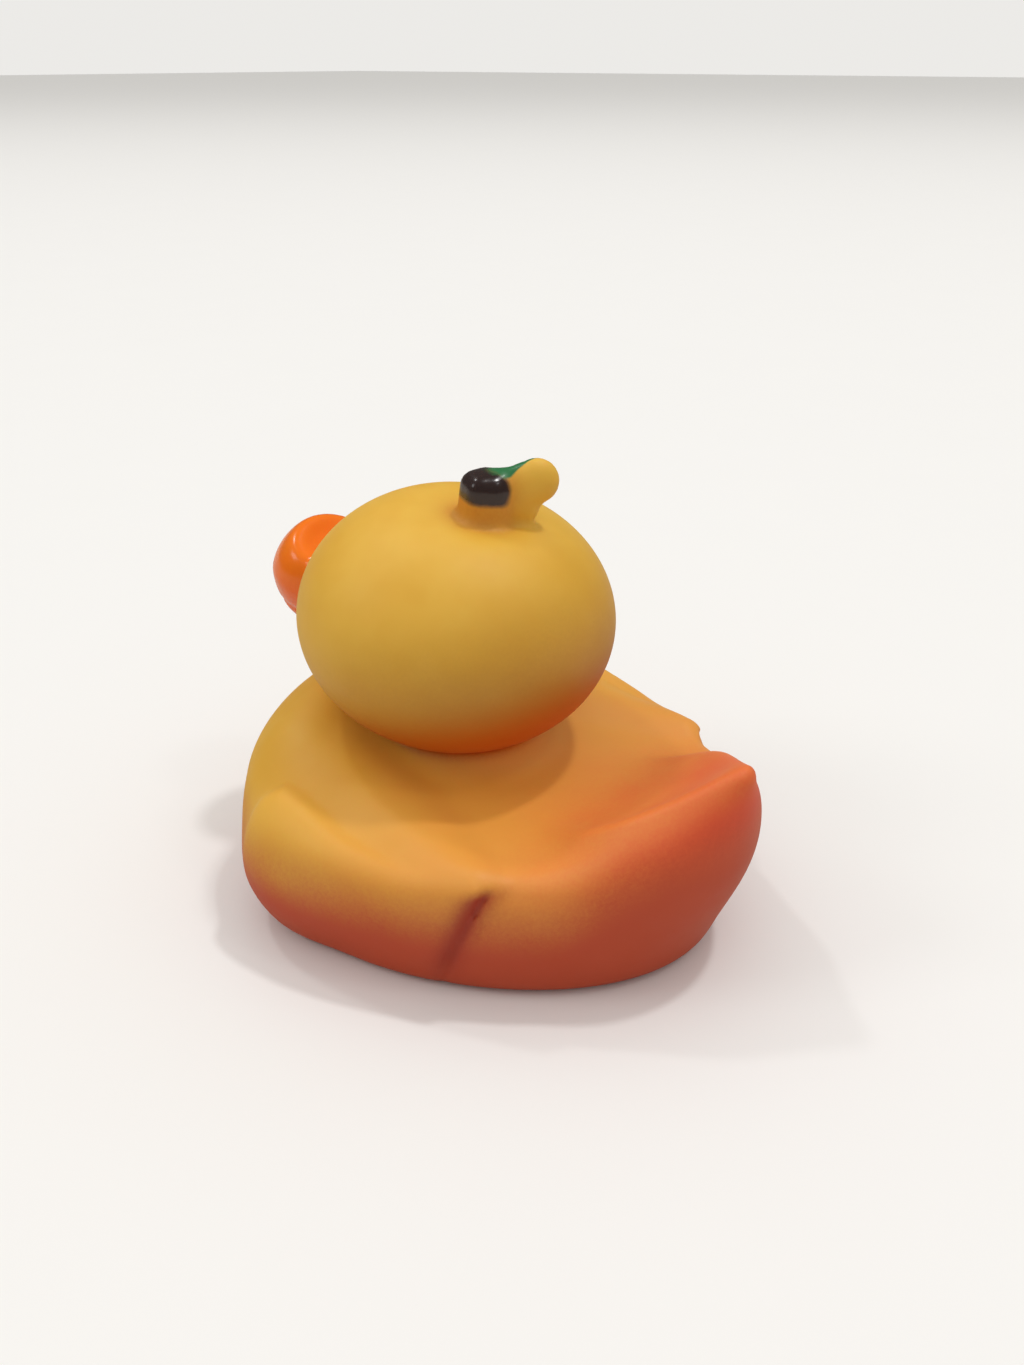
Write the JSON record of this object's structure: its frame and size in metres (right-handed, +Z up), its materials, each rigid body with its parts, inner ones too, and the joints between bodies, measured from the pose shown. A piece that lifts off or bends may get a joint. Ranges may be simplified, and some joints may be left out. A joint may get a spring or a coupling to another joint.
{
  "type": "rubber duck",
  "caption": "Small hollow soft-vinyl bath duck with folded wings, an upturned tail and a round, fruit-like head with a stem and a leaf, on a flat vented base.",
  "frame": {"origin": "on the plane of the flat base, under the middle of the bounding box", "axes": "+Z up, -Y the way the bill points, +Y towards the tail, +X the duck's own left"},
  "size_m": [0.0544, 0.064, 0.0492],
  "materials": {
    "vinyl": "satin soft vinyl in peach yellow, airbrushed orange and brick red, with a glossy orange bill, a glossy brown stem and a green leaf face"
  },
  "bodies": {
    "root": {"duck_shell": "vinyl"}
  },
  "joints": []
}
